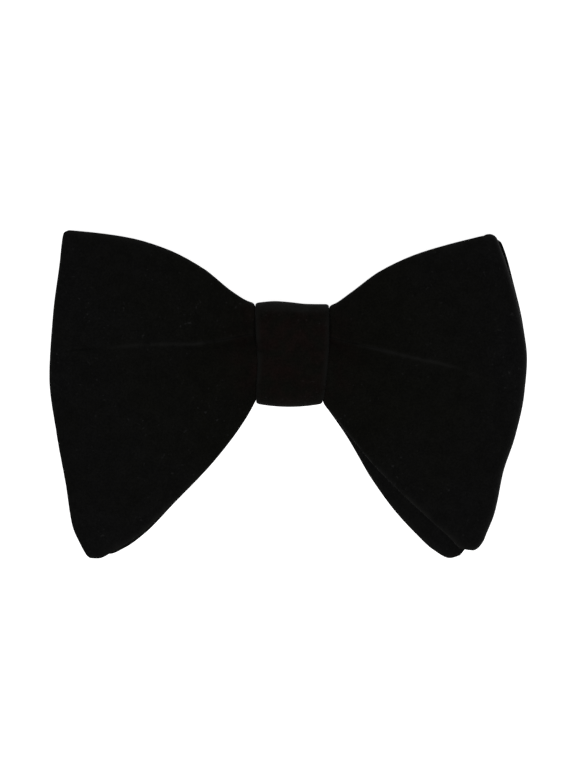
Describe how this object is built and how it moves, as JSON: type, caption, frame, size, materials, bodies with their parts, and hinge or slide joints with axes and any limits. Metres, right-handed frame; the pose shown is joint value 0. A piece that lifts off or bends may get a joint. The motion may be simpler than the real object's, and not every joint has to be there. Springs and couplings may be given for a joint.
{
  "type": "oversized bow tie",
  "caption": "Wide padded velvet bow tie: drooping wings, open in one layer and folded in the next, gathered into a knot band with a bent metal collar clip behind.",
  "frame": {"origin": "centre of the floor under the whole bow, which lies on its back with its front face up", "axes": "+X to the right and +Y up as the bow is looked at from the front when worn, +Z out of the front"},
  "size_m": [0.1608, 0.1101, 0.0292],
  "materials": {
    "velvet": "matt black cotton velvet, short upright pile",
    "clip_steel": "nickel-plated steel strip, brushed"
  },
  "bodies": {
    "root": {"front_wing_left": "velvet", "front_wing_right": "velvet", "back_wing_left": "velvet", "back_wing_right": "velvet", "knot_band": "velvet", "collar_clip": "clip_steel"}
  },
  "joints": []
}
